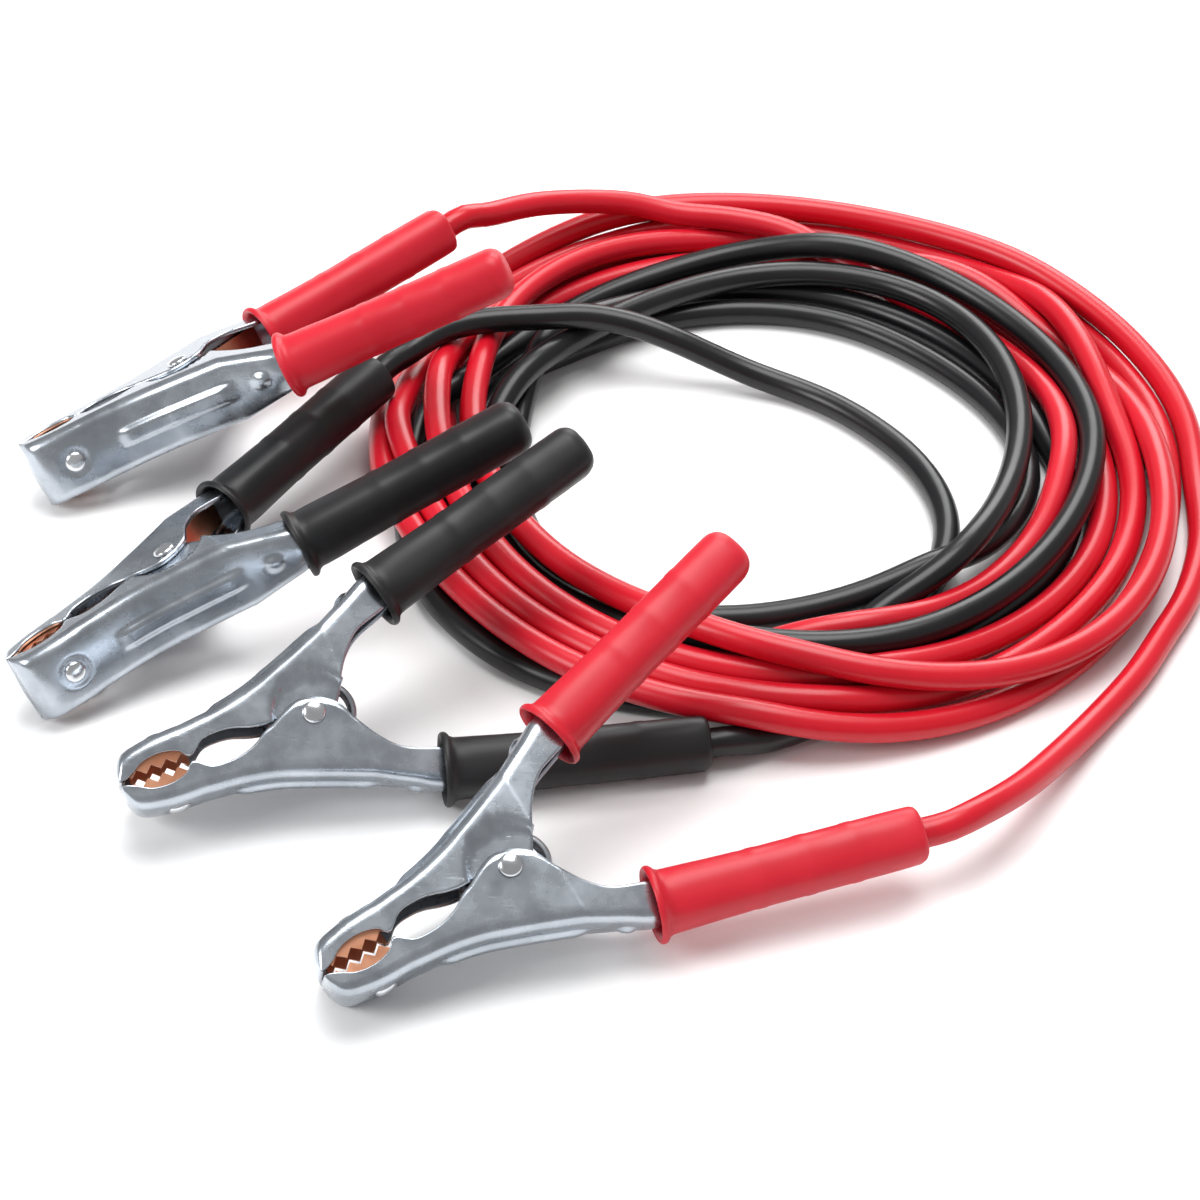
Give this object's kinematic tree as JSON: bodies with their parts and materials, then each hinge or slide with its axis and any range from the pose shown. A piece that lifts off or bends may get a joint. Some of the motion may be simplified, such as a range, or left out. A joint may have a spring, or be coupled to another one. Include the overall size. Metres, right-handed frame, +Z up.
{
  "type": "car jumper cable set",
  "caption": "Coiled red and black car jumper cables with sprung sheet-steel battery clamps, copper jaw inserts and moulded grips.",
  "frame": {"origin": "on the floor, under the middle of the box round the four clamps", "axes": "+X to the right along the laid-out set, from the jaws towards the coil; +Y away from the viewer; +Z up"},
  "size_m": [0.3476, 0.3359, 0.0736],
  "materials": {
    "zinc_steel": "zinc-plated pressed sheet, bright with pale mottling",
    "rivet_steel": "bright plated",
    "spring_steel": "drawn wire, plated",
    "copper": "bare rolled copper, slightly dulled",
    "red_grip": "soft satin moulded vinyl",
    "black_grip": "soft satin moulded vinyl",
    "red_pvc": "smooth semi-gloss cable jacket",
    "black_pvc": "smooth semi-gloss cable jacket"
  },
  "bodies": {
    "leads_and_cable_halves": {"front_red_cable_jaw": "zinc_steel", "front_red_cable_contact": "copper", "front_red_cable_contact_rivet": "rivet_steel", "front_red_pivot_rivet": "rivet_steel", "front_red_torsion_spring": "spring_steel", "front_red_copper_strap": "copper", "front_red_cable_grip": "red_grip", "front_black_cable_jaw": "zinc_steel", "front_black_cable_contact": "copper", "front_black_cable_contact_rivet": "rivet_steel", "front_black_pivot_rivet": "rivet_steel", "front_black_torsion_spring": "spring_steel", "front_black_copper_strap": "copper", "front_black_cable_grip": "black_grip", "rear_red_cable_jaw": "zinc_steel", "rear_red_cable_contact": "copper", "rear_red_cable_contact_rivet": "rivet_steel", "rear_red_pivot_rivet": "rivet_steel", "rear_red_torsion_spring": "spring_steel", "rear_red_copper_strap": "copper", "rear_red_cable_grip": "red_grip", "rear_black_cable_jaw": "zinc_steel", "rear_black_cable_contact": "copper", "rear_black_cable_contact_rivet": "rivet_steel", "rear_black_pivot_rivet": "rivet_steel", "rear_black_torsion_spring": "spring_steel", "rear_black_copper_strap": "copper", "rear_black_cable_grip": "black_grip", "cable_coil": "red_pvc", "front_red_lead": "red_pvc", "front_black_lead": "black_pvc", "rear_red_lead": "red_pvc", "rear_black_lead": "black_pvc"},
    "front_red_free_half": {"front_red_free_jaw": "zinc_steel", "front_red_free_contact": "copper", "front_red_free_contact_rivet": "rivet_steel", "front_red_free_grip": "red_grip"},
    "front_black_free_half": {"front_black_free_jaw": "zinc_steel", "front_black_free_contact": "copper", "front_black_free_contact_rivet": "rivet_steel", "front_black_free_grip": "black_grip"},
    "rear_red_free_half": {"rear_red_free_jaw": "zinc_steel", "rear_red_free_contact": "copper", "rear_red_free_contact_rivet": "rivet_steel", "rear_red_free_grip": "red_grip"},
    "rear_black_free_half": {"rear_black_free_jaw": "zinc_steel", "rear_black_free_contact": "copper", "rear_black_free_contact_rivet": "rivet_steel", "rear_black_free_grip": "black_grip"}
  },
  "joints": [
    {"name": "front_red_squeeze", "type": "hinge", "parent": "leads_and_cable_halves", "child": "front_red_free_half", "pos_m": [0.0213, -0.11823, 0.02058], "axis": [-0.1076, 0.506, -0.8558], "range_deg": [0, 27], "stiffness_Nm_per_rad": 1.2, "springref_deg": -28.65, "deforming": ["front_red_torsion_spring"]},
    {"name": "front_black_squeeze", "type": "hinge", "parent": "leads_and_cable_halves", "child": "front_black_free_half", "pos_m": [-0.0309, -0.06483, 0.02183], "axis": [-0.1408, 0.5815, -0.8013], "range_deg": [0, 27], "stiffness_Nm_per_rad": 1.2, "springref_deg": -28.65, "deforming": ["front_black_torsion_spring"]},
    {"name": "rear_red_squeeze", "type": "hinge", "parent": "leads_and_cable_halves", "child": "rear_red_free_half", "pos_m": [-0.0768, 0.07087, 0.02419], "axis": [-0.4062, 0.3085, 0.8601], "range_deg": [0, 27], "stiffness_Nm_per_rad": 1.2, "springref_deg": -28.65, "deforming": ["rear_red_torsion_spring"]},
    {"name": "rear_black_squeeze", "type": "hinge", "parent": "leads_and_cable_halves", "child": "rear_black_free_half", "pos_m": [-0.0716, -0.00943, 0.02048], "axis": [-0.3895, 0.1983, 0.8994], "range_deg": [0, 27], "stiffness_Nm_per_rad": 1.2, "springref_deg": -28.65, "deforming": ["rear_black_torsion_spring"]}
  ]
}
